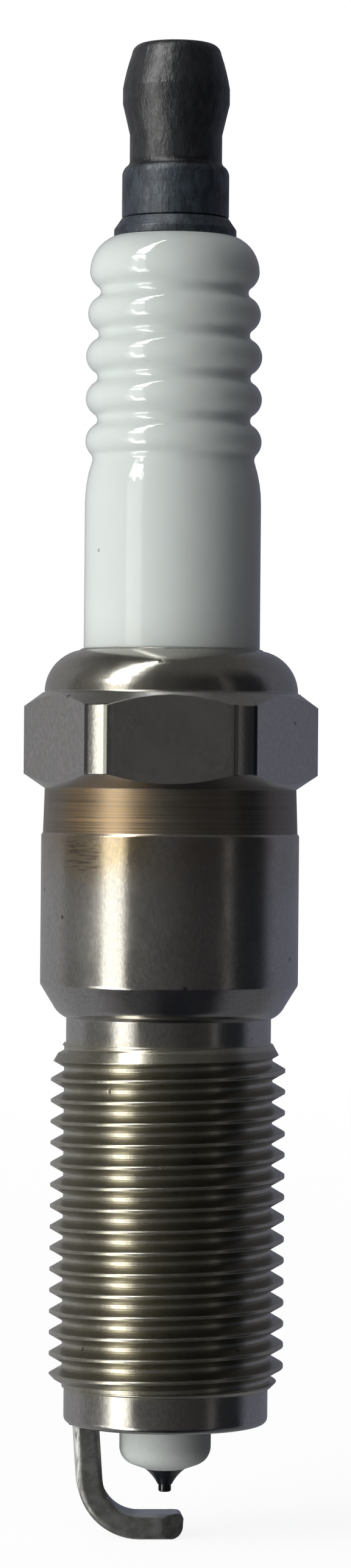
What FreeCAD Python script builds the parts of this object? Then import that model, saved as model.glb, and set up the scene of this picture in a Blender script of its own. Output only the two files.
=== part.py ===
import FreeCAD, Part
import math
import os
import re

import Sketcher

# A resistor spark plug with a tapered sealing face, in millimetres.
# The plug's axis is Z, with the terminal up and the firing end down. Z = 0 is the gauge plane of the
# tapered face, where the cone is 14.8 mm across: it is where the plug rests in a cylinder head.
# Names that end in _z are heights on that axis. The ground electrode's leg is on the -X side.

SIZES = {
    "edge_break": 0.12,
    "play": 0.01,
    # terminal nut: bulb, waist and collar, on an M4 stud
    "terminal_top_z": 56.2,
    "terminal_face_diameter": 4.2,
    "crown_diameter": 5.32,
    "crown_z": 55.6,
    "crown_curve": 0.7,
    "bulb_side_curve": 12,
    "bulb_diameter": 6.35,
    "bulb_high_z": 53.55,
    "bulb_low_z": 52.65,
    "bulb_foot_curve": 1.5,
    "bulb_foot_height": 0.25,
    "bulb_foot_step": 0.06,
    "waist_diameter": 5.48,
    "waist_high_z": 50.8,
    "waist_low_z": 49.25,
    "collar_rim_diameter": 5.72,
    "collar_rim_z": 48.95,
    "collar_shoulder_z": 48.4,
    "collar_shoulder_curve": 0.7,
    "waist_foot_curve": 0.4,
    "nut_base_z": 45.85,
    "nut_bore_diameter": 4.1,
    "nut_bore_bevel": 0.25,
    "nut_bore_top_z": 53.4,
    "drill_point_height": 0.8,
    # terminal stud
    "flange_diameter": 7.26,
    "flange_rim_z": 45.25,
    "flange_top_diameter": 6.4,
    "flange_top_z": 45.8,
    "stud_top_z": 53.0,
    "stud_diameter": 4.0,
    "stud_pitch": 0.7,
    "stud_relief_diameter": 3.0,
    "stud_relief_z": 46.05,
    "stud_thread_low_z": 46.25,
    "shank_diameter": 3.7,
    "shank_low_z": 15.0,
    "shank_bevel_height": 0.4,
    "grip_diameter": 3.0,
    "grip_groove_depth": 0.3,
    "grip_pitch": 0.9,
    "stud_low_z": 10.0,
    # insulator, outside
    "insulator_top_z": 44.72,
    "insulator_top_diameter": 7.4,
    "insulator_diameter": 10.45,
    "top_rib_z": 42.7,
    "top_rib_diameter": 10.06,
    "second_rib_diameter": 10.25,
    "rib_pitch": 2.52,
    "crest_curve": 1.1,
    "valley_curve": 0.4,
    "lowest_valley_curve": 0.5,
    "land_curve": 8.0,
    "land_top_z": 28.9,
    "land_low_z": 20.4,
    "packed_diameter": 10.36,
    "packed_taper_height": 0.6,
    "belly_diameter": 12.06,
    "belly_high_z": 13.7,
    "belly_low_z": 2.8,
    "stem_diameter": 9.2,
    "nose_root_diameter": 7.7,
    "nose_root_z": -14.0,
    "nose_diameter": 5.43,
    "nose_straight_z": -23.0,
    "nose_corner_z": -27.0,
    "nose_corner_curve": 1.1,
    "nose_face_diameter": 4.0,
    "nose_face_rise": 0.29,
    "nose_end_z": -28.32,
    # insulator's bore, and what fills it
    "core_bore_diameter": 4.0,
    "tip_bore_diameter": 2.44,
    "bore_step_z": -9.0,
    "bore_step_height": 0.35,
    "fill_diameter": 3.98,
    "upper_seal_top_z": 14.0,
    "resistor_top_z": 8.0,
    "resistor_low_z": -5.0,
    # centre electrode
    "electrode_diameter": 2.4,
    "head_diameter": 3.7,
    "head_bevel_height": 0.4,
    "head_top_z": -8.0,
    "knob_diameter": 1.9,
    "knob_top_z": -7.0,
    "electrode_end_z": -29.25,
    "electrode_end_diameter": 0.86,
    "electrode_cone_curve": 2.6,
    "copper_diameter": 1.3,
    "copper_low_z": -26.2,
    "copper_point_height": 0.35,
    "tip_diameter": 0.76,
    "tip_root_z": -28.6,
    "tip_end_z": -29.7,
    # metal body, outside, from the crimped lip down
    "lip_top_z": 20.3,
    "lip_inner_diameter": 10.54,
    "lip_edge_diameter": 10.9,
    "lip_edge_height": 0.1,
    "lip_edge_curve": 0.25,
    "dome_curve": 2.55,
    "dome_diameter": 15.04,
    "dome_base_z": 17.7,
    "ledge_width": 0.12,
    "ledge_drop": 0.05,
    "hex_flats": 15.8,
    "hex_corners": 17.44,
    "hex_high_z": 16.85,
    "hex_low_z": 12.85,
    "hex_base_z": 12.0,
    "band_top_diameter": 14.93,
    "band_diameter": 15.1,
    "band_low_z": 9.35,
    "barrel_diameter": 15.3,
    "barrel_low_z": 0.38,
    "gauge_diameter": 14.8,
    "taper_half_angle": 31.5,
    "taper_low_z": -0.82,
    "neck_curve": 1.6,
    "neck_top_z": -1.6,
    "neck_diameter": 12.15,
    "thread_diameter": 13.9,
    "thread_pitch": 1.25,
    "thread_top_z": -3.1,
    "thread_runout_height": 1.35,
    "thread_low_z": -23.45,
    "thread_bevel": 0.75,
    "thread_cut_top_z": -2.4,
    "thread_cut_low_z": -24.03,
    "pilot_diameter": 12.1,
    "pilot_corner_curve": 0.4,
    "end_face_z": -25.6,
    # metal body, inside
    "firing_bore_diameter": 8.0,
    "shelf_z": -11.9,
    "shelf_slope": 30.0,
    "stem_bore_diameter": 9.4,
    "stem_bore_top_z": 1.0,
    "packing_bore_diameter": 12.2,
    # packing between insulator and metal body
    "washer_thickness": 0.3,
    "washer_side_play": 0.05,
    "ring_wire_diameter": 0.84,
    "upper_ring_z": 18.6,
    "lower_ring_z": 14.98,
    # ground electrode
    "spark_gap": 1.2,
    "strap_thickness": 1.5,
    "strap_width": 2.7,
    "strap_edge_curve": 0.35,
    "strap_radius": 4.73,
    "strap_lean": 4.0,
    "strap_bend": 3.0,
    "strap_reach": 1.05,
    "strap_end_width": 1.6,
    "strap_taper_length": 1.3,
    "strap_heel_curve": 0.75,
    "strap_toe_curve": 0.3,
    "strap_index": 4.0,
}

# each rib's diameter, from the lowest to the top one
RIB_DIAMETERS = ["insulator_diameter"] * 3 + ["second_rib_diameter", "top_rib_diameter"]
GRIP_GROOVES = 4
HEX_SIDES = 6
BEYOND = 1.0  # how far a cutting outline reaches past what it cuts

document = FreeCAD.newDocument("spark_plug")
sheet = document.addObject("Spreadsheet::Sheet", "Sizes")
known = []


def enter(alias, content):
    """Put a size or a formula of sizes in the spreadsheet's next row, under a name."""
    known.append(alias)
    cell = f"A{len(known)}"
    sheet.set(cell, str(content))
    sheet.setAlias(cell, alias)


def derive(alias, formula):
    """Name a size that follows from others, and return the name."""
    enter(alias, f"={formula}")
    sheet.recompute()
    return alias


def bound(formula):
    """The same formula, with every named size read from the spreadsheet."""
    return re.sub(r"[a-z]\w*", lambda word: f"Sizes.{word[0]}" if word[0] in known else word[0], formula)


def worth(formula):
    """What a formula of named sizes is worth now."""
    return float(sheet.evalExpression(bound(formula)))


def new_body(name):
    """A PartDesign body whose Label is the name of its file."""
    body = document.addObject("PartDesign::Body", name)
    body.Label = name
    return body


def sketch_on(body, role, name):
    """An empty sketch on one of the body's own origin planes."""
    plane = next(item for item in body.Origin.OriginFeatures if item.Role == role)
    sketch = body.newObject("Sketcher::SketchObject", name)
    sketch.AttachmentSupport = (plane, [""])
    sketch.MapMode = "FlatFace"
    return sketch


def corner(across, along, arc=None):
    """One corner of an outline. arc is the signed radius of the round side that arrives at it.

    An outline runs anticlockwise, so a positive arc bulges outwards and a negative one is hollow.
    """
    return across, along, arc


def side_between(start, end, radius):
    """A straight or round side from start to end."""
    if radius is None:
        return Part.LineSegment(start, end)
    chord = end - start
    left = FreeCAD.Vector(-chord.y, chord.x, 0).normalize()
    rise = math.sqrt(radius**2 - (chord.Length / 2) ** 2)
    centre = (start + end) / 2 + left * math.copysign(rise, radius)
    bulge = (start + end) / 2 - centre
    middle = centre + bulge.normalize() * abs(radius)
    return Part.Arc(start, middle, end)


def draw(sketch, corners, closed=True):
    """Draw an outline through the corners and bind every corner and arc to the spreadsheet."""
    points = [FreeCAD.Vector(worth(across), worth(along), 0) for across, along, _ in corners]
    count = len(corners)
    sides = count if closed else count - 1
    first = sketch.GeometryCount
    enters = []
    leaves = []
    for index in range(sides):
        after = (index + 1) % count
        arc = corners[after][2]
        radius = None if arc is None else worth(arc)
        sketch.addGeometry(side_between(points[index], points[after], radius), False)
        # an arc always runs anticlockwise, so a hollow one meets its corners the other way round
        hollow = radius is not None and radius < 0
        enters.append(2 if hollow else 1)
        leaves.append(1 if hollow else 2)
        if arc is not None:
            fixed = sketch.addConstraint(Sketcher.Constraint("Radius", first + index, abs(radius)))
            sketch.setExpression(f"Constraints[{fixed}]", bound(f"abs({arc})"))
    joined = sides if closed else sides - 1
    for index in range(joined):
        after = (index + 1) % sides
        meet = (first + index, leaves[index], first + after, enters[after])
        sketch.addConstraint(Sketcher.Constraint("Coincident", *meet))
    for index in range(count):
        at_end = index == sides
        side = index - 1 if at_end else index
        end = leaves[side] if at_end else enters[side]
        for direction, formula in zip(("DistanceX", "DistanceY"), corners[index][:2]):
            fixed = sketch.addConstraint(Sketcher.Constraint(direction, first + side, end, worth(formula)))
            sketch.setExpression(f"Constraints[{fixed}]", bound(formula))


def turned(body, corners):
    """Turn an outline of (radius, height) corners about the plug's axis."""
    sketch = sketch_on(body, "XZ_Plane", "profile")
    draw(sketch, corners)
    document.recompute()
    revolution = body.newObject("PartDesign::Revolution", "turned")
    revolution.Profile = (sketch, [""])
    revolution.ReferenceAxis = (sketch, ["V_Axis"])
    revolution.Angle = 360
    document.recompute()


def cut_thread(body, diameter, pitch, high_z, low_z):
    """Cut a right-hand 60 degree vee thread into a shaft, with a flat root and crest."""
    depth = f"0.6134 * {pitch}"
    root = f"{diameter} / 2 - {depth}"
    mouth = f"{diameter} / 2 + edge_break"
    # the groove leaves a crest flat of an eighth of the pitch, and goes on past the crest
    half_mouth = f"(7 * {pitch} / 16 + edge_break * tan(30))"
    half_root = f"(7 * {pitch} / 16 - {depth} * tan(30))"
    groove = sketch_on(body, "XZ_Plane", "thread_groove")
    draw(
        groove,
        [
            corner(root, f"{low_z} - {half_root}"),
            corner(mouth, f"{low_z} - {half_mouth}"),
            corner(mouth, f"{low_z} + {half_mouth}"),
            corner(root, f"{low_z} + {half_root}"),
        ],
    )
    document.recompute()
    before = body.Shape.Volume
    helix = body.newObject("PartDesign::SubtractiveHelix", "thread")
    helix.Profile = (groove, [""])
    helix.ReferenceAxis = (groove, ["V_Axis"])
    helix.Mode = "pitch-height-angle"
    helix.LeftHanded = False
    helix.setExpression("Pitch", bound(pitch))
    helix.setExpression("Height", bound(f"{high_z} - {low_z}"))
    require_cut(body, before, "thread")


def cut_away(body, sketch, name, depth=None):
    """Cut a sketch's outlines down to a depth, or right through both ways where none is given."""
    document.recompute()
    before = body.Shape.Volume
    pocket = body.newObject("PartDesign::Pocket", name)
    pocket.Profile = (sketch, [""])
    if depth is None:
        pocket.Type = "ThroughAll"
        pocket.Midplane = True
    else:
        pocket.setExpression("Length", bound(depth))
    require_cut(body, before, name)


def require_cut(body, before, name):
    """Stop if a cut removed nothing."""
    document.recompute()
    least = 0.01
    if not body.Shape.Volume < before - least:
        raise RuntimeError(f"{name} of {body.Label} removed nothing")


def make_terminal_nut():
    """Bulb, waist and collar, with a plain blind bore in place of the M4 female thread."""
    body = new_body("terminal_nut")
    turned(
        body,
        [
            corner("nut_bore_diameter / 2 + nut_bore_bevel", "nut_base_z"),
            corner("bulb_diameter / 2 - edge_break", "nut_base_z"),
            corner("bulb_diameter / 2", "nut_base_z + edge_break", "edge_break"),
            corner("bulb_diameter / 2", "collar_shoulder_z"),
            corner("collar_rim_diameter / 2", "collar_rim_z", "collar_shoulder_curve"),
            corner("waist_diameter / 2", "waist_low_z", "-waist_foot_curve"),
            corner("waist_diameter / 2", "waist_high_z"),
            corner("bulb_diameter / 2 - bulb_foot_step", "bulb_low_z - bulb_foot_height"),
            corner("bulb_diameter / 2", "bulb_low_z", "bulb_foot_curve"),
            corner("bulb_diameter / 2", "bulb_high_z"),
            corner("crown_diameter / 2", "crown_z", "bulb_side_curve"),
            corner("terminal_face_diameter / 2", "terminal_top_z", "crown_curve"),
            corner("0", "terminal_top_z"),
            corner("0", "nut_bore_top_z + drill_point_height"),
            corner("nut_bore_diameter / 2", "nut_bore_top_z"),
            corner("nut_bore_diameter / 2", "nut_base_z + nut_bore_bevel"),
        ],
    )
    return body


def make_terminal_stud():
    """Threaded top, flange on the insulator, plain shank and a grooved end that the glass grips."""
    body = new_body("terminal_stud")
    bevel = "(stud_diameter - stud_relief_diameter) / 2"
    corners = [corner("0", "stud_low_z"), corner("grip_diameter / 2 - grip_groove_depth", "stud_low_z")]
    for groove in range(GRIP_GROOVES):
        low = f"stud_low_z + grip_groove_depth + {groove} * grip_pitch"
        corners += [
            corner("grip_diameter / 2", low),
            corner("grip_diameter / 2", f"{low} + grip_pitch / 2"),
            corner("grip_diameter / 2 - grip_groove_depth", f"{low} + 3 * grip_pitch / 4"),
        ]
    corners += [
        corner("grip_diameter / 2", f"stud_low_z + grip_groove_depth + {GRIP_GROOVES} * grip_pitch"),
        corner("grip_diameter / 2", "shank_low_z - shank_bevel_height"),
        corner("shank_diameter / 2", "shank_low_z"),
        corner("shank_diameter / 2", "insulator_top_z"),
        corner("flange_diameter / 2 - edge_break", "insulator_top_z"),
        corner("flange_diameter / 2", "insulator_top_z + edge_break", "edge_break"),
        corner("flange_diameter / 2", "flange_rim_z - edge_break"),
        corner("flange_diameter / 2 - edge_break / 2", "flange_rim_z", "2 * edge_break"),
        corner("flange_top_diameter / 2", "flange_top_z"),
        corner("stud_relief_diameter / 2", "flange_top_z"),
        corner("stud_relief_diameter / 2", "stud_relief_z"),
        corner("stud_diameter / 2", f"stud_relief_z + {bevel}"),
        corner("stud_diameter / 2", f"stud_top_z - {bevel}"),
        corner("stud_relief_diameter / 2", "stud_top_z"),
        corner("0", "stud_top_z"),
    ]
    turned(body, corners)
    cut_thread(body, "stud_diameter", "stud_pitch", "stud_top_z + stud_pitch", "stud_thread_low_z")
    return body


def shelf_height(diameter):
    """Where the insulator's step, which rests on the conical washer, has this diameter."""
    rise = f"({diameter} - firing_bore_diameter) / 2 * tan(shelf_slope)"
    return f"shelf_z + washer_thickness / cos(shelf_slope) + 2 * play + {rise}"


def make_insulator():
    """One ceramic piece: ribbed top, belly inside the metal body, stem, rounded nose, stepped bore."""
    body = new_body("insulator")
    shoulder_width = "(top_rib_diameter - insulator_top_diameter) / 2"
    shoulder_height = "insulator_top_z - top_rib_z"
    # the top shoulder is one arc that leaves the top rib's crest straight up
    shoulder_curve = f"(({shoulder_width})^2 + ({shoulder_height})^2) / (2 * {shoulder_width})"
    corners = [
        corner("tip_bore_diameter / 2", "nose_end_z"),
        corner("nose_face_diameter / 2", "nose_end_z + nose_face_rise"),
        corner("nose_diameter / 2", "nose_corner_z", "nose_corner_curve"),
        corner("nose_diameter / 2", "nose_straight_z"),
        corner("nose_root_diameter / 2", "nose_root_z"),
        corner("nose_root_diameter / 2", shelf_height("nose_root_diameter")),
        corner("stem_diameter / 2", shelf_height("stem_diameter")),
        corner("stem_diameter / 2", "belly_low_z - (belly_diameter - stem_diameter) / 2"),
        corner("belly_diameter / 2", "belly_low_z"),
        corner("belly_diameter / 2", "belly_high_z"),
        corner("packed_diameter / 2", "belly_high_z + (belly_diameter - packed_diameter) / 2"),
        corner("packed_diameter / 2", "land_low_z - packed_taper_height"),
        corner("insulator_diameter / 2", "land_low_z"),
        corner("insulator_diameter / 2", "land_top_z"),
    ]
    corners += rib_corners()
    corners += [
        corner("insulator_top_diameter / 2", "insulator_top_z", shoulder_curve),
        corner("core_bore_diameter / 2", "insulator_top_z"),
        corner("core_bore_diameter / 2", "bore_step_z + bore_step_height"),
        corner("tip_bore_diameter / 2", "bore_step_z"),
    ]
    turned(body, corners)
    return body


def rib_corners():
    """The outline over the ribs: round crests and tighter round valleys, all tangent."""
    ribs = len(RIB_DIAMETERS)
    # each convex arc as (centre's radius, centre's height, arc radius), the land's rounded end first
    crests = [("insulator_diameter / 2 - land_curve", "land_top_z", "land_curve")]
    for rib, diameter in enumerate(RIB_DIAMETERS):
        height = f"top_rib_z - {ribs - 1 - rib} * rib_pitch"
        crests.append((f"{diameter} / 2 - crest_curve", height, "crest_curve"))
    corners = []
    for rib in range(ribs):
        curve = "valley_curve" if rib else "lowest_valley_curve"
        low_touch, high_touch = valley_between(crests[rib], crests[rib + 1], curve, f"valley_{rib}")
        corners += [corner(*low_touch, crests[rib][2]), corner(*high_touch, f"-{curve}")]
    corners.append(corner("top_rib_diameter / 2", "top_rib_z", "crest_curve"))
    return corners


def valley_between(low, high, curve, name):
    """Where a hollow arc outside two crests touches the lower one and the upper one."""
    across = f"(({high[0]}) - ({low[0]}))"
    along = f"(({high[1]}) - ({low[1]}))"
    to_low = f"({low[2]} + {curve})"
    to_high = f"({high[2]} + {curve})"
    # the hollow's centre lies some way along the line between the crests' centres, then off it
    span = derive(f"{name}_span", f"sqrt({across}^2 + {along}^2)")
    foot = derive(f"{name}_foot", f"({to_low}^2 - {to_high}^2 + {span}^2) / (2 * {span})")
    offset = derive(f"{name}_offset", f"sqrt({to_low}^2 - {foot}^2)")
    centre_r = derive(f"{name}_r", f"{low[0]} + ({foot} * {across} + {offset} * {along}) / {span}")
    centre_z = derive(f"{name}_z", f"{low[1]} + ({foot} * {along} - {offset} * {across}) / {span}")
    touches = []
    for crest, reach in ((low, to_low), (high, to_high)):
        share = f"{crest[2]} / {reach}"
        touch_r = f"{crest[0]} + ({centre_r} - ({crest[0]})) * {share}"
        touch_z = f"{crest[1]} + ({centre_z} - ({crest[1]})) * {share}"
        touches.append((touch_r, touch_z))
    return touches


def make_upper_glass_seal():
    """Conductive glass between the stud's grooved end and the resistor."""
    body = new_body("upper_glass_seal")
    turned(
        body,
        [
            corner("0", "resistor_top_z + play"),
            corner("fill_diameter / 2", "resistor_top_z + play"),
            corner("fill_diameter / 2", "upper_seal_top_z"),
            corner("grip_diameter / 2 + play", "upper_seal_top_z"),
            corner("grip_diameter / 2 + play", "stud_low_z - play"),
            corner("0", "stud_low_z - play"),
        ],
    )
    return body


def make_resistor_element():
    """A plain rod of resistor mix that fills the insulator's bore."""
    rod = document.addObject("Part::Cylinder", "resistor_element")
    rod.Label = "resistor_element"
    rod.setExpression("Radius", bound("fill_diameter / 2"))
    rod.setExpression("Height", bound("resistor_top_z - resistor_low_z"))
    rod.setExpression("Placement.Base.z", bound("resistor_low_z"))
    return rod


def make_lower_glass_seal():
    """Conductive glass between the resistor and the centre electrode's head."""
    body = new_body("lower_glass_seal")
    turned(
        body,
        [
            corner("knob_diameter / 2 + play", "head_top_z + play"),
            corner("fill_diameter / 2", "head_top_z + play"),
            corner("fill_diameter / 2", "resistor_low_z - play"),
            corner("0", "resistor_low_z - play"),
            corner("0", "knob_top_z + play"),
            corner("knob_diameter / 2 + play", "knob_top_z + play"),
        ],
    )
    return body


def make_centre_electrode():
    """Nickel alloy sheath: head on the bore's step, shaft, hollow cone, and a socket for the tip."""
    body = new_body("centre_electrode")
    turned(
        body,
        [
            corner("tip_diameter / 2 + play", "electrode_end_z"),
            corner("electrode_end_diameter / 2", "electrode_end_z"),
            corner("electrode_diameter / 2", "nose_end_z - play", "-electrode_cone_curve"),
            corner("electrode_diameter / 2", "bore_step_z"),
            corner("head_diameter / 2", "bore_step_z + head_bevel_height"),
            corner("head_diameter / 2", "head_top_z"),
            corner("knob_diameter / 2", "head_top_z"),
            corner("knob_diameter / 2", "knob_top_z"),
            corner("copper_diameter / 2 + play", "knob_top_z"),
            corner("copper_diameter / 2 + play", "copper_low_z - play"),
            corner("0", "copper_low_z - copper_point_height - 5 * play"),
            corner("0", "tip_root_z + play"),
            corner("tip_diameter / 2 + play", "tip_root_z + play"),
        ],
    )
    return body


def make_centre_electrode_core():
    """Copper core that carries heat up the centre electrode."""
    body = new_body("centre_electrode_core")
    turned(
        body,
        [
            corner("0", "copper_low_z - copper_point_height"),
            corner("copper_diameter / 2", "copper_low_z"),
            corner("copper_diameter / 2", "knob_top_z"),
            corner("0", "knob_top_z"),
        ],
    )
    return body


def make_centre_electrode_tip():
    """Fine precious-metal wire welded in the sheath's end."""
    body = new_body("centre_electrode_tip")
    turned(
        body,
        [
            corner("0", "tip_end_z"),
            corner("tip_diameter / 2 - edge_break", "tip_end_z"),
            corner("tip_diameter / 2", "tip_end_z + edge_break", "edge_break"),
            corner("tip_diameter / 2", "tip_root_z"),
            corner("0", "tip_root_z"),
        ],
    )
    return body


def make_metal_body():
    """Steel body: crimped lip, hexagon, band, barrel, tapered face, neck, M14 thread and pilot."""
    body = new_body("metal_body")
    thread_edge = "thread_diameter / 2 - thread_bevel"
    taper_low_radius = "gauge_diameter / 2 + taper_low_z * tan(taper_half_angle)"
    taper_top_radius = "gauge_diameter / 2 + barrel_low_z * tan(taper_half_angle)"
    shelf_rise = "(stem_bore_diameter - firing_bore_diameter) / 2 * tan(shelf_slope)"
    ring_room = "(packing_bore_diameter - packed_diameter) / 4"
    turned(
        body,
        [
            corner("firing_bore_diameter / 2 + edge_break", "end_face_z"),
            corner("pilot_diameter / 2 - pilot_corner_curve", "end_face_z"),
            corner("pilot_diameter / 2", "end_face_z + pilot_corner_curve", "pilot_corner_curve"),
            corner("pilot_diameter / 2", "thread_low_z"),
            corner(thread_edge, "thread_low_z"),
            corner("thread_diameter / 2", "thread_low_z + thread_bevel"),
            corner("thread_diameter / 2", "thread_top_z - thread_runout_height"),
            corner(thread_edge, "thread_top_z"),
            corner("neck_diameter / 2", "thread_top_z"),
            corner("neck_diameter / 2", "neck_top_z"),
            corner(taper_low_radius, "taper_low_z", "neck_curve"),
            corner(taper_top_radius, "barrel_low_z"),
            corner("barrel_diameter / 2", "barrel_low_z + edge_break"),
            corner("barrel_diameter / 2", "band_low_z - edge_break"),
            corner("barrel_diameter / 2 - edge_break / 2", "band_low_z"),
            corner("band_diameter / 2", "band_low_z"),
            corner("band_top_diameter / 2", "hex_base_z"),
            corner("hex_corners / 2", "hex_low_z"),
            corner("hex_corners / 2", "hex_high_z"),
            corner("dome_diameter / 2 + ledge_width", "dome_base_z - ledge_drop"),
            corner("dome_diameter / 2", "dome_base_z"),
            corner("lip_edge_diameter / 2", "lip_top_z - lip_edge_height", "dome_curve"),
            corner("lip_inner_diameter / 2", "lip_top_z", "lip_edge_curve"),
            corner("lip_inner_diameter / 2", f"upper_ring_z + {ring_room}"),
            corner(f"packing_bore_diameter / 2 - {ring_room}", f"upper_ring_z + {ring_room}"),
            corner("packing_bore_diameter / 2", "upper_ring_z", f"-{ring_room}"),
            corner(
                "packing_bore_diameter / 2",
                "stem_bore_top_z + (packing_bore_diameter - stem_bore_diameter) / 2",
            ),
            corner("stem_bore_diameter / 2", "stem_bore_top_z"),
            corner("stem_bore_diameter / 2", f"shelf_z + {shelf_rise}"),
            corner("firing_bore_diameter / 2", "shelf_z"),
            corner("firing_bore_diameter / 2", "end_face_z + edge_break"),
        ],
    )
    cut_hexagon(body)
    cut_thread(body, "thread_diameter", "thread_pitch", "thread_cut_top_z", "thread_cut_low_z")
    return body


def cut_hexagon(body):
    """Cut away what lies outside the six flats, one flat facing -Y."""
    sketch = sketch_on(body, "XY_Plane", "hexagon")
    sketch.setExpression("AttachmentOffset.Base.z", bound("dome_base_z"))
    corner_radius = "hex_flats / 2 / cos(30)"
    draw(
        sketch,
        [
            corner(f"{corner_radius} * cos({angle})", f"{corner_radius} * sin({angle})")
            for angle in range(0, 360, 360 // HEX_SIDES)
        ],
    )
    rim_radius = f"hex_corners / 2 + {BEYOND}"
    circle = Part.Circle(FreeCAD.Vector(0, 0, 0), FreeCAD.Vector(0, 0, 1), worth(rim_radius))
    rim = sketch.addGeometry(circle, False)
    sketch.addConstraint(Sketcher.Constraint("Coincident", rim, 3, -1, 1))
    fixed = sketch.addConstraint(Sketcher.Constraint("Radius", rim, worth(rim_radius)))
    sketch.setExpression(f"Constraints[{fixed}]", bound(rim_radius))
    cut_away(body, sketch, "flats", depth="dome_base_z - hex_base_z")


def make_packing_ring(name, height):
    """A wire ring round the insulator, inside the metal body."""
    ring = document.addObject("Part::Torus", name)
    ring.Label = name
    ring.setExpression("Radius1", bound("(packed_diameter + packing_bore_diameter) / 4"))
    ring.setExpression("Radius2", bound("ring_wire_diameter / 2"))
    ring.setExpression("Placement.Base.z", bound(height))
    return ring


def make_talc_packing():
    """Pressed talc powder between the two wire rings."""
    body = new_body("talc_packing")
    low = "lower_ring_z + ring_wire_diameter / 2 + play"
    high = "upper_ring_z - ring_wire_diameter / 2 - play"
    turned(
        body,
        [
            corner("packed_diameter / 2 + play", low),
            corner("packing_bore_diameter / 2 - play", low),
            corner("packing_bore_diameter / 2 - play", high),
            corner("packed_diameter / 2 + play", high),
        ],
    )
    return body


def make_seat_packing():
    """Conical steel washer between the insulator's step and the shelf in the metal body."""
    body = new_body("seat_packing")
    inner = "firing_bore_diameter / 2 + washer_side_play"
    outer = "stem_bore_diameter / 2 - washer_side_play"
    thick = "washer_thickness / cos(shelf_slope)"
    low = f"shelf_z + play + ({inner} - firing_bore_diameter / 2) * tan(shelf_slope)"
    high = f"shelf_z + play + ({outer} - firing_bore_diameter / 2) * tan(shelf_slope)"
    turned(
        body,
        [
            corner(inner, low),
            corner(outer, high),
            corner(outer, f"{high} + {thick}"),
            corner(inner, f"{low} + {thick}"),
        ],
    )
    return body


def make_ground_electrode():
    """J-shaped strap: leaning leg on the end face, bend, and a tapered end under the centre tip."""
    body = new_body("ground_electrode")
    arm_z = "(tip_end_z - spark_gap - strap_thickness / 2)"
    bend_z = f"({arm_z} + strap_bend)"
    leg_end_z = f"({bend_z} - strap_bend * sin(strap_lean))"
    leg_end_x = f"(-strap_radius + (end_face_z - {leg_end_z}) * tan(strap_lean))"
    bend_x = f"({leg_end_x} + strap_bend * cos(strap_lean))"
    path = sketch_on(body, "XZ_Plane", "strap_path")
    draw(
        path,
        [
            corner("-strap_radius", "end_face_z"),
            corner(leg_end_x, leg_end_z),
            corner(bend_x, arm_z, "strap_bend"),
            corner("strap_reach", arm_z),
        ],
        closed=False,
    )
    section = draw_strap_section(body)
    document.recompute()
    strap = body.newObject("PartDesign::AdditivePipe", "strap")
    strap.Profile = (section, [""])
    strap.Spine = (path, [""])
    document.recompute()
    taper_strap_end(body)
    round_strap_end(body, arm_z)
    body.setExpression("Placement.Rotation.Angle", bound("strap_index"))
    return body


def draw_strap_section(body):
    """The strap's cross-section on the end face: a rectangle with round edges."""
    section = sketch_on(body, "XY_Plane", "strap_section")
    section.setExpression("AttachmentOffset.Base.z", bound("end_face_z"))
    inner = "-strap_radius + strap_thickness / 2"
    outer = "-strap_radius - strap_thickness / 2"
    near = "-strap_width / 2"
    far = "strap_width / 2"
    curve = "strap_edge_curve"
    draw(
        section,
        [
            corner(f"{outer} + {curve}", near, curve),
            corner(f"{inner} - {curve}", near),
            corner(inner, f"{near} + {curve}", curve),
            corner(inner, f"{far} - {curve}"),
            corner(f"{inner} - {curve}", far, curve),
            corner(f"{outer} + {curve}", far),
            corner(outer, f"{far} - {curve}", curve),
            corner(outer, f"{near} + {curve}"),
        ],
    )
    return section


def taper_strap_end(body):
    """Shear both sides of the strap's end to a trapezium, seen from below."""
    sketch = sketch_on(body, "XY_Plane", "end_taper")
    start = "strap_reach - strap_taper_length"
    beyond = f"strap_reach + {BEYOND}"
    slope = "(strap_width - strap_end_width) / 2 / strap_taper_length"
    for side in ("", "-"):
        draw(
            sketch,
            [
                corner(start, f"{side}strap_width / 2"),
                corner(beyond, f"{side}(strap_end_width / 2 - {slope} * {BEYOND})"),
                corner(beyond, f"{side}(strap_width / 2 + {BEYOND})"),
                corner(start, f"{side}(strap_width / 2 + {BEYOND})"),
            ],
        )
    cut_away(body, sketch, "end_taper_cut")


def round_strap_end(body, arm_z):
    """Round the strap's end underneath, where it was sheared, and slightly on top."""
    sketch = sketch_on(body, "XZ_Plane", "end_rounding")
    low = f"({arm_z} - strap_thickness / 2)"
    high = f"({arm_z} + strap_thickness / 2)"
    beyond = f"strap_reach + {BEYOND}"
    draw(
        sketch,
        [
            corner("strap_reach - strap_heel_curve", f"{low} - {BEYOND}"),
            corner(beyond, f"{low} - {BEYOND}"),
            corner(beyond, f"{low} + strap_heel_curve"),
            corner("strap_reach", f"{low} + strap_heel_curve"),
            corner("strap_reach - strap_heel_curve", low, "-strap_heel_curve"),
        ],
    )
    draw(
        sketch,
        [
            corner("strap_reach", f"{high} - strap_toe_curve", "-strap_toe_curve"),
            corner(beyond, f"{high} - strap_toe_curve"),
            corner(beyond, f"{high} + {BEYOND}"),
            corner("strap_reach - strap_toe_curve", f"{high} + {BEYOND}"),
            corner("strap_reach - strap_toe_curve", high),
        ],
    )
    cut_away(body, sketch, "end_rounding_cut")


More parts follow.
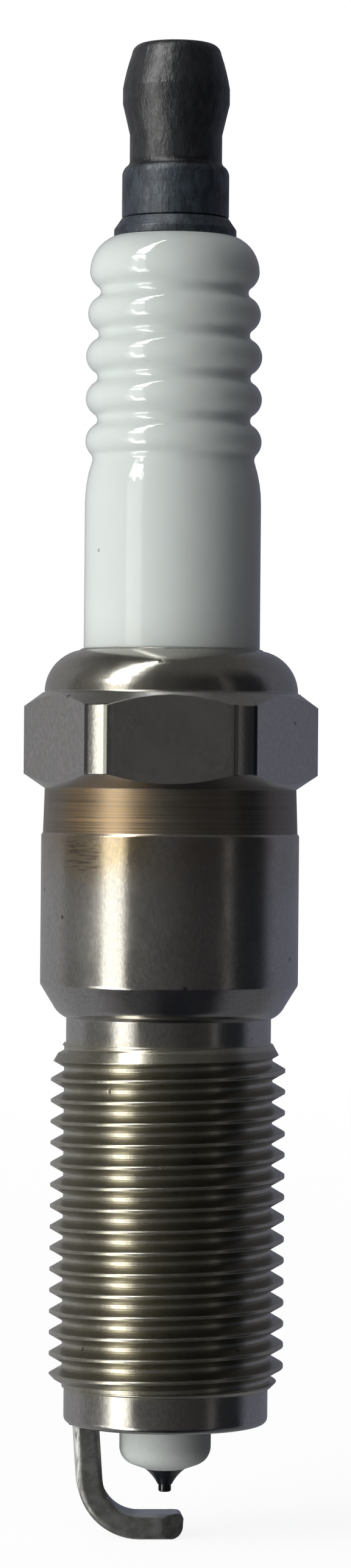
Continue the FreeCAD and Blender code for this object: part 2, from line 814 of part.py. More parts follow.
def check_and_write(parts):
    """Refuse a failed object or an unsound shape, then write one STEP file per sub-part."""
    document.recompute()
    for item in document.Objects:
        if "Invalid" in item.State or "Error" in item.State:
            raise RuntimeError(f"{item.Label} failed: {item.State}")
    os.makedirs("parts", exist_ok=True)
    for part in parts:
        if part.Shape.isNull() or not part.Shape.isValid() or len(part.Shape.Solids) != 1:
            raise RuntimeError(f"{part.Label} is not one sound solid")
        part.Shape.exportStep(f"parts/{part.Label}.step")
        box = part.Shape.optimalBoundingBox()
        print(f"{part.Label:24s} {part.Shape.Volume:9.2f} mm3  z {box.ZMin:7.2f} to {box.ZMax:7.2f}")


for size_name, millimetres in SIZES.items():
    enter(size_name, millimetres)
document.recompute()

check_and_write(
    [
        make_terminal_nut(),
        make_terminal_stud(),
        make_insulator(),
        make_upper_glass_seal(),
        make_resistor_element(),
        make_lower_glass_seal(),
        make_centre_electrode(),
        make_centre_electrode_core(),
        make_centre_electrode_tip(),
        make_metal_body(),
        make_packing_ring("upper_packing_ring", "upper_ring_z"),
        make_talc_packing(),
        make_packing_ring("lower_packing_ring", "lower_ring_z"),
        make_seat_packing(),
        make_ground_electrode(),
    ]
)
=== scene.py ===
import math

import bmesh
import bpy
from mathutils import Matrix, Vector, noise


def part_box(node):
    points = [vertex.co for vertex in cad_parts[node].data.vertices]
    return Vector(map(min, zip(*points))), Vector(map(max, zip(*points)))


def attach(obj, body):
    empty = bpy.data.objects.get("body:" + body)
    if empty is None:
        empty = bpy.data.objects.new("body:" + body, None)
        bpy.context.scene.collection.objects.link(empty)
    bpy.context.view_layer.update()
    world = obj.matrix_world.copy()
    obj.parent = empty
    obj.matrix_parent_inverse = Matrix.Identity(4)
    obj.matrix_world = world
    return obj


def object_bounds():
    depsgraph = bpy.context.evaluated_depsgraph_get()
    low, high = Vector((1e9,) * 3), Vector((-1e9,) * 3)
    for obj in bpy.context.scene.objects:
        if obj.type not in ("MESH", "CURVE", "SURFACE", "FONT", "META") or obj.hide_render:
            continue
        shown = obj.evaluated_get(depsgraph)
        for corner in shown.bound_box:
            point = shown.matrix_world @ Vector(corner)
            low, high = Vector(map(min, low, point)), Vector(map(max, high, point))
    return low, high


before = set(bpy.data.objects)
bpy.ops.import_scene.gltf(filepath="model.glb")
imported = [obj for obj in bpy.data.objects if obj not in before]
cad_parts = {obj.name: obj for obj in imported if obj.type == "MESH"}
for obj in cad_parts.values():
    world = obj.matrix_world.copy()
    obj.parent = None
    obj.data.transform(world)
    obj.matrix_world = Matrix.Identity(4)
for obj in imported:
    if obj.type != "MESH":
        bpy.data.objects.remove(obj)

CAD_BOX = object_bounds()
MM = 0.001

# zones of the metal body: lower and upper edge, and how far their borders fade, all in millimetres of z
BODY_ZONES = {
    "dome": (17.75, 30.0, 0.05),
    "hexagon": (12.05, 17.65, 0.05),
    "band": (9.36, 12.02, 0.03),
    "barrel": (0.4, 9.33, 0.03),
    "thread": (-23.6, -2.9, 0.3),
}


# ---------------------------------------------------------------- node graph helpers

class Graph:
    """A short way to write one material's or world's node tree."""

    def __init__(self, owner):
        owner.use_nodes = True
        self.tree = owner.node_tree
        self.tree.nodes.clear()

    def add(self, kind, inputs=None, **settings):
        """Add a node, set its properties, and link or set its inputs."""
        node = self.tree.nodes.new(kind)
        for name, setting in settings.items():
            setattr(node, name, setting)
        for key, source in (inputs or {}).items():
            self.feed(node.inputs[key], source)
        return node

    def feed(self, socket, source):
        """Link an input to another node's output, or set it to a plain value."""
        if isinstance(source, bpy.types.NodeSocket):
            self.tree.links.new(source, socket)
        else:
            socket.default_value = source

    def math(self, operation, first, second=0.0):
        return self.add("ShaderNodeMath", {0: first, 1: second}, operation=operation).outputs[0]

    def times(self, first, second):
        return self.math("MULTIPLY", first, second)

    def plus(self, first, second):
        return self.math("ADD", first, second)

    def step(self, number, low, high, start=0.0, end=1.0):
        """A smooth change from start to end as number goes from low to high."""
        if low > high:
            low, high, start, end = high, low, end, start
        node = self.add(
            "ShaderNodeMapRange",
            {"Value": number, "From Min": low, "From Max": high, "To Min": start, "To Max": end},
            interpolation_type="SMOOTHSTEP",
        )
        return node.outputs["Result"]

    def window(self, number, low, high, soft):
        """1 between low and high, and 0 outside, with soft edges."""
        rise = self.step(number, low - soft, low + soft)
        fall = self.step(number, high - soft, high + soft, 1.0, 0.0)
        return self.times(rise, fall)

    def mix(self, share, first, second):
        """A colour between first and second."""
        node = self.add("ShaderNodeMix", data_type="RGBA")
        self.feed(node.inputs["Factor"], share)
        self.feed(node.inputs["A"], first)
        self.feed(node.inputs["B"], second)
        return node.outputs["Result"]

    def blend(self, share, first, second):
        """A number between first and second."""
        node = self.add("ShaderNodeMix", data_type="FLOAT")
        self.feed(node.inputs["Factor"], share)
        self.feed(node.inputs["A"], first)
        self.feed(node.inputs["B"], second)
        return node.outputs["Result"]

    def stretch(self, vector, x, y, z):
        node = self.add("ShaderNodeVectorMath", {0: vector, 1: (x, y, z)}, operation="MULTIPLY")
        return node.outputs[0]

    def noise(self, vector, scale, detail, roughness, distortion=0.0):
        inputs = {
            "Vector": vector,
            "Scale": scale,
            "Detail": detail,
            "Roughness": roughness,
            "Distortion": distortion,
        }
        return self.add("ShaderNodeTexNoise", inputs).outputs["Fac"]

    def specks(self, vector, scale, radius):
        """1 in small round dots scattered at random, and 0 elsewhere."""
        cells = self.add("ShaderNodeTexVoronoi", {"Vector": vector, "Scale": scale, "Randomness": 1.0})
        solid_radius = radius * 0.6
        return self.step(cells.outputs["Distance"], solid_radius, radius, 1.0, 0.0)

    def bump(self, height, strength, distance, normal=None):
        inputs = {"Height": height, "Strength": strength, "Distance": distance}
        if normal is not None:
            inputs["Normal"] = normal
        return self.add("ShaderNodeBump", inputs).outputs["Normal"]


class Surface(Graph):
    """A material with the places on the plug that its finishes depend on, all in millimetres."""

    def __init__(self, name):
        self.material = bpy.data.materials.new(name)
        super().__init__(self.material)
        metres = self.add("ShaderNodeTexCoord").outputs["Object"]
        self.place = self.stretch(metres, 1 / MM, 1 / MM, 1 / MM)
        parts = self.add("ShaderNodeSeparateXYZ", {0: self.place})
        self.x, self.y, self.z = parts.outputs
        self.radius = self.math("SQRT", self.plus(self.times(self.x, self.x), self.times(self.y, self.y)))
        self.turn = self.math("ARCTAN2", self.y, self.x)
        wrapped = {"X": self.math("COSINE", self.turn), "Y": self.math("SINE", self.turn), "Z": self.z}
        # the same place on a cylinder of radius 1, so that a pattern runs round the axis
        self.wrap = self.add("ShaderNodeCombineXYZ", wrapped).outputs[0]

    def facing(self, x, y):
        """How squarely the plug's side faces a level direction of length 1, from -1 to 1."""
        along = self.plus(self.times(self.x, x), self.times(self.y, y))
        return self.math("DIVIDE", along, self.radius)

    def rounded(self, radius_mm):
        """The surface's normal, with edges rounded to a radius."""
        return self.add("ShaderNodeBevel", {"Radius": radius_mm * MM}, samples=4).outputs[0]

    def edges(self, radius_mm):
        """1 on convex and concave edges, from how far a rounded normal turns from the true one."""
        true = self.add("ShaderNodeNewGeometry").outputs["Normal"]
        inputs = {0: true, 1: self.rounded(radius_mm)}
        same = self.add("ShaderNodeVectorMath", inputs, operation="DOT_PRODUCT")
        on_a_face = 0.995
        on_an_edge = 0.90
        return self.step(same.outputs["Value"], on_a_face, on_an_edge)

    def finish(self, **inputs):
        """End in a Principled BSDF. An input's name is written with _ for a space."""
        shader = self.add("ShaderNodeBsdfPrincipled", {k.replace("_", " "): v for k, v in inputs.items()})
        output = self.add("ShaderNodeOutputMaterial")
        self.tree.links.new(shader.outputs[0], output.inputs["Surface"])
        return self.material


def colour(red, green, blue):
    return (red, green, blue, 1.0)


# ---------------------------------------------------------------- materials

def plated_body():
    """Nickel plate with heat tints: brownish dome, bronze and gold band, straw barrel, olive thread."""
    s = Surface("nickel_plate")
    zones = {name: s.window(s.z, *limits) for name, limits in BODY_ZONES.items()}
    smudge = s.noise(s.stretch(s.wrap, 1, 1, 0.12), 2.2, 4.0, 0.6)
    cloud = s.noise(s.place, 0.35, 3.0, 0.6)
    rings = s.noise(s.stretch(s.wrap, 0.25, 0.25, 9.0), 1.6, 4.0, 0.65)
    pits = s.specks(s.place, 0.40, 0.065)
    # the hexagon's corners are turned round, and nothing else on it lies as far from the axis
    corner_inner_radius = 8.60
    corner_outer_radius = 8.68
    corner = s.times(zones["hexagon"], s.step(s.radius, corner_inner_radius, corner_outer_radius))

    nickel = colour(0.62, 0.605, 0.585)
    tone = s.mix(s.times(zones["dome"], 0.85), nickel, colour(0.46, 0.44, 0.39))
    tone = heat_tints(s, tone, zones["band"], zones["barrel"], rings, smudge)
    tone = thread_tints(s, tone, zones["thread"], cloud)
    tone = plate_wear(s, tone, pits)
    # painted shade beside each turned corner, narrowing the corner's highlight
    tone = s.mix(s.times(corner_shade_bands(s, corner), 0.8), tone, colour(0.13, 0.13, 0.125))
    rough = plate_roughness(s, zones, corner, rings, smudge, cloud)
    normal = s.bump(plate_relief(s, zones["band"], rings, pits), 0.35, 0.03 * MM, s.rounded(0.09))
    return s.finish(Base_Color=tone, Metallic=1.0, Roughness=rough, Normal=normal, Anisotropic=0.25)


def heat_tints(s, tone, band, barrel, rings, smudge):
    """Bronze, gold and dark turned lines on the band; straw, a dark smear and haze on the barrel."""
    bronze = s.mix(smudge, colour(0.36, 0.30, 0.23), colour(0.28, 0.25, 0.21))
    tone = s.mix(s.times(band, 0.9), tone, bronze)
    # the strongest tint is on the side that faces -Y, a little to -X
    heated = s.step(s.facing(-0.53, -0.85), 0.86, 0.985)
    gold = s.times(s.times(band, heated), s.step(rings, 0.25, 0.6, 0.5, 1.0))
    tone = s.mix(s.times(gold, 0.9), tone, colour(0.54, 0.36, 0.18))
    turned_lines = s.times(band, s.step(rings, 0.62, 0.40, 0.0, 0.42))
    tone = s.mix(turned_lines, tone, colour(0.17, 0.135, 0.10))
    # straw covers the barrel's upper part, with an uneven lower border
    uneven_z = s.plus(s.z, s.times(smudge, 3.0))
    straw = s.times(s.times(barrel, s.step(uneven_z, 7.6, 10.2)), heated)
    tone = s.mix(straw, tone, colour(0.62, 0.49, 0.27))
    # a narrow dark smear of brush marks lies beside it, nearer to -X
    brush = s.noise(s.stretch(s.wrap, 2.2, 2.2, 3.4), 3.0, 3.0, 0.6)
    smear_side = s.step(s.facing(-0.67, -0.74), 0.975, 0.992)
    smear = s.times(s.times(barrel, s.window(s.z, 7.2, 9.1, 0.4)), smear_side)
    tone = s.mix(s.times(smear, s.step(brush, 0.50, 0.58)), tone, colour(0.16, 0.115, 0.08))
    haze = s.times(s.times(barrel, s.step(s.z, 4.5, 9.3)), s.step(smudge, 0.35, 0.65, 0.25, 0.8))
    return s.mix(haze, tone, colour(0.46, 0.38, 0.29))


def thread_tints(s, tone, thread, cloud):
    """Olive on the thread, darker on its flanks, between the root and the crest."""
    olive = s.mix(cloud, colour(0.60, 0.57, 0.42), colour(0.62, 0.60, 0.54))
    tone = s.mix(s.times(thread, 0.8), tone, olive)
    flank_inner_radius = 6.36
    flank_outer_radius = 6.84
    flank = s.times(thread, s.window(s.radius, flank_inner_radius, flank_outer_radius, 0.05))
    return s.mix(s.times(flank, 0.6), tone, colour(0.26, 0.24, 0.19))


def plate_wear(s, tone, pits):
    """Grime, a fine grain, dark pits, and bright edges that are partly wear and partly a painted highlight.
    """
    grime = s.step(s.noise(s.place, 2.6, 6.0, 0.8), 0.50, 0.80)
    tone = s.mix(s.times(grime, 0.3), tone, colour(0.22, 0.20, 0.18))
    grain = s.noise(s.stretch(s.place, 1, 1, 0.4), 9.0, 4.0, 0.7)
    tone = s.mix(s.step(grain, 0.62, 0.38, 0.0, 0.30), tone, colour(0.30, 0.295, 0.285))
    tone = s.mix(s.times(pits, 0.7), tone, colour(0.10, 0.09, 0.08))
    # bright edges, convex and concave alike: partly wear, partly a painted highlight where edges catch light
    return s.mix(s.times(s.edges(0.12), 0.35), tone, colour(0.80, 0.77, 0.72))


def corner_shade_bands(s, corner):
    """1 along both sides of the turned lands on the hexagon's corners, where painted shade darkens the plate
    to narrow their highlights.
    """
    # a corner is at every 60 degrees from +X, and off_corner is the angle from the nearest one
    half_facet = 30.0
    off_corner = s.math("PINGPONG", s.math("DEGREES", s.math("ABSOLUTE", s.turn)), half_facet)
    return s.times(corner, s.window(off_corner, 3.4, 5.2, 0.3))


def plate_roughness(s, zones, corner, rings, smudge, cloud):
    """Glossy plate: duller on the facets and the thread, brighter on the corners, and satin on the band."""
    # the denoiser draws a hard border where roughness passes about 0.27, so no zone's range holds it
    rough = s.step(smudge, 0.3, 0.7, 0.14, 0.24)
    facet_rough = s.step(cloud, 0.3, 0.7, 0.21, 0.26)
    rough = s.blend(zones["hexagon"], rough, s.blend(corner, facet_rough, 0.11))
    rough = s.blend(zones["band"], rough, s.step(rings, 0.3, 0.7, 0.28, 0.38))
    return s.blend(s.times(zones["thread"], 0.8), rough, 0.24)


def plate_relief(s, band, rings, pits):
    """Heights of the turning marks, streaks, fine dents and pits."""
    fine_rings = s.noise(s.stretch(s.wrap, 0.08, 0.08, 30.0), 1.0, 2.0, 0.5)
    streaks = s.noise(s.stretch(s.wrap, 1, 1, 0.03), 9.0, 3.0, 0.55)
    turned = s.blend(band, s.times(fine_rings, 0.25), rings)
    relief = s.plus(s.times(turned, 0.5), s.times(streaks, 0.12))
    relief = s.plus(relief, s.times(s.noise(s.place, 6.0, 3.0, 0.6), 0.25))
    return s.math("SUBTRACT", relief, s.times(pits, 0.8))


def dark_terminal():
    """Black-oxide steel, turned on a lathe: satin, blue-grey on the collar, with fine scratches."""
    s = Surface("dark_plate")
    collar_edge_z = 48.9
    collar_full_z = 48.6
    collar = s.step(s.z, collar_edge_z, collar_full_z)
    scratches = s.noise(s.stretch(s.wrap, 4.0, 4.0, 0.25), 6.0, 4.0, 0.7, 0.6)
    fine_rings = s.noise(s.stretch(s.wrap, 0.08, 0.08, 26.0), 1.0, 3.0, 0.6)
    patch = s.noise(s.stretch(s.place, 1.0, 1.0, 0.55), 1.6, 5.0, 0.72)
    blotch = s.step(patch, 0.36, 0.64)
    tone = s.mix(blotch, colour(0.034, 0.035, 0.040), colour(0.007, 0.008, 0.012))
    tone = s.mix(collar, tone, s.mix(blotch, colour(0.052, 0.070, 0.092), colour(0.008, 0.014, 0.027)))
    scratch = s.times(s.step(scratches, 0.56, 0.68), s.blend(collar, 0.3, 0.6))
    tone = s.mix(s.times(scratch, 0.5), tone, colour(0.17, 0.18, 0.19))
    worn = s.edges(0.12)
    tone = s.mix(s.times(worn, 0.5), tone, colour(0.15, 0.15, 0.15))
    # painted shadow: a dark line where the waist meets the collar, standing in for the shade under the
    # collar's ledge
    ledge_shadow_low_z = 48.80
    ledge_shadow_high_z = 49.25
    ledge_shadow = s.window(s.z, ledge_shadow_low_z, ledge_shadow_high_z, 0.08)
    tone = s.mix(s.times(ledge_shadow, 0.95), tone, colour(0.003, 0.004, 0.006))
    nut_rough = s.step(patch, 0.38, 0.62, 0.28, 0.38)
    collar_rough = s.step(patch, 0.38, 0.62, 0.32, 0.46)
    rough = s.blend(collar, nut_rough, collar_rough)
    relief = s.plus(s.times(fine_rings, 0.35), s.times(scratches, 0.4))
    relief = s.plus(relief, s.times(patch, 2.5))
    normal = s.bump(relief, 0.6, 0.05 * MM, s.rounded(0.08))
    return s.finish(Base_Color=tone, Metallic=0.35, IOR=1.85, Roughness=rough, Normal=normal)


def glazed_alumina():
    """White alumina under a clear glaze, bare and matt at the nose, with faint mottling and specks."""
    s = Surface("glazed_alumina")
    glaze_low_z = -20.0
    bare_high_z = -22.0
    bare = s.step(s.z, glaze_low_z, bare_high_z)
    mottle = s.noise(s.place, 0.28, 4.0, 0.6)
    grain = s.noise(s.place, 5.0, 4.0, 0.7)
    tone = s.mix(mottle, colour(0.655, 0.695, 0.68), colour(0.725, 0.745, 0.735))
    specks = s.specks(s.place, 0.25, 0.035)
    tone = s.mix(s.times(specks, 0.75), tone, colour(0.25, 0.25, 0.25))
    # painted shade on the land just above the metal lip, made uneven by the mottling
    lip_shade_high_z = 22.6
    lip_shade_full_z = 20.7
    lip_shade = s.times(s.step(s.z, lip_shade_high_z, lip_shade_full_z), s.step(mottle, 0.3, 0.7, 0.2, 0.7))
    tone = s.mix(s.times(lip_shade, 0.4), tone, colour(0.55, 0.55, 0.52))
    nose = s.mix(grain, colour(0.50, 0.515, 0.51), colour(0.64, 0.655, 0.645))
    tone = s.mix(bare, tone, nose)
    rough = s.blend(bare, 0.16, 0.62)
    glaze_wave = s.noise(s.place, 0.9, 2.0, 0.5)
    relief = s.blend(bare, glaze_wave, s.times(grain, 0.5))
    normal = s.bump(relief, 0.35, 0.05 * MM)
    coat = s.blend(bare, 1.0, 0.0)
    # under the glaze the coat does the mirroring, and the bare nose has only its own faint sheen
    sheen = s.blend(bare, 0.0, 0.35)
    return s.finish(
        Base_Color=tone, Roughness=rough, Normal=normal, IOR=1.5, Specular_IOR_Level=sheen,
        Coat_Weight=coat, Coat_Roughness=0.04, Coat_IOR=1.52, Coat_Normal=normal,
        Subsurface_Weight=0.12, Subsurface_Radius=(1.0, 0.9, 0.8), Subsurface_Scale=0.8 * MM,
    )


def dull_nickel():
    """The ground electrode's nickel alloy: oxidised brown-grey with drawn streaks and worn edges."""
    s = Surface("dull_nickel")
    along = s.noise(s.stretch(s.place, 7.0, 7.0, 0.9), 1.3, 5.0, 0.7)
    cloud = s.noise(s.place, 1.4, 5.0, 0.65)
    grain = s.noise(s.place, 9.0, 4.0, 0.7)
    tone = s.mix(s.step(cloud, 0.36, 0.64), colour(0.35, 0.345, 0.33), colour(0.19, 0.185, 0.175))
    tone = s.mix(s.step(grain, 0.40, 0.60, 0.25, 0.0), tone, colour(0.10, 0.10, 0.098))
    # a painted highlight: the leg's outer face, on -X, is silver in streaks
    leg_inside_x = -4.95
    leg_outside_x = -5.15
    silver_highlight = s.times(s.step(along, 0.40, 0.52), s.step(s.x, leg_inside_x, leg_outside_x))
    tone = s.mix(s.times(silver_highlight, 0.9), tone, colour(0.80, 0.79, 0.77))
    # painted light: faces that look up are paler and bluer, as if lit from above
    true_normal = s.add("ShaderNodeNewGeometry").outputs["Normal"]
    faces_up = s.add("ShaderNodeSeparateXYZ", {0: true_normal}).outputs["Z"]
    tone = s.mix(s.step(faces_up, 0.35, 0.85, 0.0, 0.9), tone, colour(0.52, 0.55, 0.62))
    worn = s.edges(0.14)
    tone = s.mix(s.times(worn, 0.25), tone, colour(0.45, 0.43, 0.40))
    rough = s.plus(s.step(cloud, 0.3, 0.7, 0.32, 0.46), s.times(silver_highlight, -0.03))
    relief = s.plus(s.times(along, 0.6), s.times(grain, 0.35))
    normal = s.bump(relief, 0.35, 0.04 * MM, s.rounded(0.26))
    metallic = s.blend(silver_highlight, 0.7, 0.15)
    return s.finish(Base_Color=tone, Metallic=metallic, Roughness=rough, Normal=normal)


def centre_nickel():
    """The centre electrode's cone and tip: near black, with drawing marks."""
    s = Surface("centre_nickel")
    cloud = s.noise(s.place, 3.0, 4.0, 0.6)
    rings = s.noise(s.stretch(s.wrap, 0.2, 0.2, 22.0), 1.0, 3.0, 0.6)
    tone = s.mix(cloud, colour(0.11, 0.11, 0.115), colour(0.07, 0.075, 0.08))
    rough = s.step(cloud, 0.3, 0.7, 0.14, 0.24)
    normal = s.bump(s.plus(rings, cloud), 0.3, 0.02 * MM)
    return s.finish(Base_Color=tone, Metallic=1.0, Roughness=rough, Normal=normal)


def plain_metal(name, dark, light, roughness):
    """Drawn wire, pressed washer or copper: a mottled metal with fine lines."""
    s = Surface(name)
    cloud = s.noise(s.place, 1.8, 4.0, 0.6)
    lines = s.noise(s.stretch(s.wrap, 6.0, 6.0, 0.6), 3.0, 3.0, 0.6)
    tone = s.mix(cloud, dark, light)
    rough = s.step(lines, 0.3, 0.7, roughness - 0.06, roughness + 0.08)
    normal = s.bump(s.plus(cloud, lines), 0.3, 0.02 * MM)
    return s.finish(Base_Color=tone, Metallic=1.0, Roughness=rough, Normal=normal)


def packed_powder(name, dark, light, grain_scale, roughness):
    """Pressed talc or resistor mix: a matt grainy solid."""
    s = Surface(name)
    grain = s.noise(s.place, grain_scale, 5.0, 0.75)
    cloud = s.noise(s.place, 0.7, 3.0, 0.5)
    tone = s.mix(s.plus(s.times(grain, 0.7), s.times(cloud, 0.3)), dark, light)
    rough = s.step(grain, 0.3, 0.7, roughness - 0.08, roughness + 0.06)
    normal = s.bump(grain, 0.5, 0.06 * MM)
    return s.finish(Base_Color=tone, Roughness=rough, Normal=normal)


def seal_glass():
    """Copper-filled seal glass: dark, glossy and flecked with metal."""
    s = Surface("seal_glass")
    flecks = s.specks(s.place, 4.0, 0.3)
    cloud = s.noise(s.place, 1.5, 4.0, 0.6)
    tone = s.mix(cloud, colour(0.10, 0.075, 0.06), colour(0.17, 0.12, 0.09))
    tone = s.mix(flecks, tone, colour(0.62, 0.34, 0.22))
    normal = s.bump(s.plus(cloud, flecks), 0.3, 0.03 * MM)
    return s.finish(Base_Color=tone, Metallic=s.times(flecks, 0.9), Roughness=0.28, Normal=normal)


def dress_nodes():
    """Give every CAD node its finish, and return the ground electrode's."""
    terminal = dark_terminal()
    nickel = dull_nickel()
    centre = centre_nickel()
    packing = plain_metal("packing_steel", colour(0.42, 0.42, 0.43), colour(0.56, 0.55, 0.54), 0.34)
    seal = seal_glass()
    copper = plain_metal("copper", colour(0.78, 0.40, 0.26), colour(0.88, 0.50, 0.34), 0.26)
    resistor = packed_powder(
        "resistor_mix", colour(0.02, 0.02, 0.02), colour(0.09, 0.085, 0.08), grain_scale=5.0, roughness=0.7
    )
    talc = packed_powder(
        "talc", colour(0.58, 0.57, 0.53), colour(0.80, 0.79, 0.75), grain_scale=3.5, roughness=0.85
    )
    finishes = {
        "terminal_nut": terminal,
        "terminal_stud": terminal,
        "insulator": glazed_alumina(),
        "upper_glass_seal": seal,
        "lower_glass_seal": seal,
        "resistor_element": resistor,
        "centre_electrode": centre,
        "centre_electrode_core": copper,
        "centre_electrode_tip": centre,
        "metal_body": plated_body(),
        "upper_packing_ring": packing,
        "lower_packing_ring": packing,
        "seat_packing": packing,
        "talc_packing": talc,
        "ground_electrode": nickel,
    }
    for node, material in finishes.items():
        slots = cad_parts[node].data.materials
        slots.clear()
        slots.append(material)
    return nickel


# ---------------------------------------------------------------- pieces added to the CAD nodes

def add_piece(name, mesh, material, body):
    """Link a finished mesh as a piece that rides on a CAD body."""
    piece = bpy.data.objects.new(name, mesh)
    bpy.context.scene.collection.objects.link(piece)
    piece.data.materials.append(material)
    for face in piece.data.polygons:
        face.use_smooth = True
    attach(piece, body)


def strap_weld(material):
    """The fused bead round the foot of the ground electrode, where it is welded to the end face."""
    foot_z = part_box("ground_electrode")[1].z
    # the foot is on the -X side, turned a little towards -Y
    leg_turn = math.radians(4.0)
    leg_radius = 4.73 * MM
    centre = Vector((-leg_radius * math.cos(leg_turn), -leg_radius * math.sin(leg_turn), foot_z))
    out = Vector((-math.cos(leg_turn), -math.sin(leg_turn), 0))
    side = Vector((math.sin(leg_turn), -math.cos(leg_turn), 0))
    around = 72
    rows = 7
    mesh = bmesh.new()
    grid = []
    for row in range(rows):
        # the bead's section is a quarter turn, from the end face to the strap
        rise = row / (rows - 1) * math.pi / 2
        ring = []
        for step in range(around):
            out_by, side_by, drop = bead_offsets(2 * math.pi * step / around, rise)
            point = centre + out * out_by + side * side_by
            point.z = foot_z - drop
            ring.append(mesh.verts.new(point))
        grid.append(ring)
    for row in range(rows - 1):
        for step in range(around):
            after = (step + 1) % around
            mesh.faces.new((grid[row][step], grid[row][after], grid[row + 1][after], grid[row + 1][step]))
    mesh.faces.new(grid[0])
    mesh.faces.new(list(reversed(grid[-1])))
    bmesh.ops.recalc_face_normals(mesh, faces=mesh.faces)
    data = bpy.data.meshes.new("strap_weld")
    mesh.to_mesh(data)
    mesh.free()
    add_piece("strap_weld", data, material, "plug")


def bead_offsets(angle, rise):
    """How far the weld bead's skin lies out, sideways and down from the middle of the strap's foot."""
    half_thick = 0.75 * MM
    half_wide = 1.35 * MM
    lap = 0.02 * MM
    sunk = 0.01 * MM
    # a rounded rectangle, as a superellipse
    squareness = 0.35
    cos_part = math.copysign(abs(math.cos(angle)) ** squareness, math.cos(angle))
    sin_part = math.copysign(abs(math.sin(angle)) ** squareness, math.sin(angle))
    wobble = noise.noise(Vector((3 * math.cos(angle), 3 * math.sin(angle), 2.0)))
    width = (0.30 + 0.10 * wobble) * MM
    height = (0.34 + 0.12 * wobble) * MM
    spread = width * (1 - math.sin(rise)) - lap
    drop = height * (1 - math.cos(rise)) - sunk
    return cos_part * (half_thick + spread), sin_part * (half_wide + spread), drop


# ---------------------------------------------------------------- studio

def camera_view():
    """A long lens, level with a point above the tapered face, turned slightly about its own axis."""
    centre_z = 12.3 * MM
    frame_height = 93.1 * MM
    distance = 290 * MM
    beside = 0.29 * MM
    lean = math.radians(0.485)
    data = bpy.data.cameras.new("camera")
    data.sensor_width = 36.0
    data.lens = data.sensor_width * distance / frame_height
    data.clip_start = 0.01
    data.clip_end = 20.0
    camera = bpy.data.objects.new("camera", data)
    bpy.context.scene.collection.objects.link(camera)
    camera.location = (beside, -distance, centre_z)
    camera.rotation_euler = (math.radians(90), -lean, 0)
    bpy.context.scene.camera = camera


def studio_world():
    """White behind the object; for everything else a dark room with a bright window on the left.

    The room turns with the camera, so that the metal shows the same reflections from every side.
    """
    world = bpy.data.worlds.new("studio")
    bpy.context.scene.world = world
    # matt surfaces and mirrors see different rooms, so the world isn't sampled as a light of its own
    world.cycles.sampling_method = "NONE"
    g = Graph(world)
    away = g.add("ShaderNodeNewGeometry").outputs["Incoming"]
    ray = g.stretch(away, -1, -1, -1)
    seen = g.add(
        "ShaderNodeVectorTransform", {0: ray}, vector_type="VECTOR", convert_from="WORLD", convert_to="CAMERA"
    ).outputs[0]
    parts = g.add("ShaderNodeSeparateXYZ", {0: seen})
    right, up, forward = parts.outputs
    # degrees round the plug: 0 towards the camera, negative to its left, 180 behind the plug
    turn = g.math("DEGREES", g.math("ARCTAN2", right, g.times(forward, -1.0)))
    rise = g.math("DEGREES", g.math("ARCSINE", up))

    sharp = room_reflections(g, turn, rise, seen)
    soft = room_glow(g, turn, rise)
    light_path = g.add("ShaderNodeLightPath").outputs
    tone = g.mix(light_path["Is Diffuse Ray"], sharp, soft)
    tone = g.mix(light_path["Is Camera Ray"], tone, colour(1.0, 1.0, 1.0))
    background = g.add("ShaderNodeBackground", {"Color": tone, "Strength": 1.0})
    output = g.add("ShaderNodeOutputWorld")
    g.tree.links.new(background.outputs[0], output.inputs["Surface"])


def room_reflections(g, turn, rise, seen):
    """What metal and glaze mirror: a dark room, pale walls behind, a bright window on the left."""
    front_left = colour(0.100, 0.098, 0.095)
    front_right = colour(0.034, 0.033, 0.033)
    dark_corner = colour(0.018, 0.020, 0.024)
    door_edge = colour(0.130, 0.128, 0.125)
    left_wall = colour(0.180, 0.176, 0.170)
    left_behind = colour(0.31, 0.31, 0.32)
    right_behind = colour(0.150, 0.156, 0.195)
    ceiling = colour(0.10, 0.10, 0.095)
    tone = g.mix(g.step(turn, -36, 32), front_left, front_right)
    tone = g.mix(g.step(turn, 57, 66), tone, dark_corner)
    tone = g.mix(g.step(turn, -62, -74), tone, left_wall)
    tone = g.mix(g.window(turn, 50, 57, 2.0), tone, door_edge)
    tone = g.mix(g.step(turn, -100, -116), tone, left_behind)
    tone = g.mix(g.step(turn, 90, 104), tone, right_behind)
    tone = g.mix(g.step(rise, 25, 60), tone, ceiling)
    tone = g.mix(g.step(rise, -22, -40), tone, floor_reflections(g, turn))
    # the bright wall under the window, wider low down
    wall_side = g.plus(turn, g.step(rise, -5.5, -8.5, 0.0, 9.0))
    wall = g.times(g.step(wall_side, -65.0, -60.0), g.step(turn, -38.5, -43.5))
    wall = g.times(wall, g.window(rise, -38, 20.0, 6.0))
    sunlit_wall = colour(2.0, 1.95, 1.76)
    daylight = colour(12.0, 12.0, 11.6)
    tone = g.mix(wall, tone, sunlit_wall)
    return g.mix(window_panes(g, turn, rise, seen), tone, daylight)


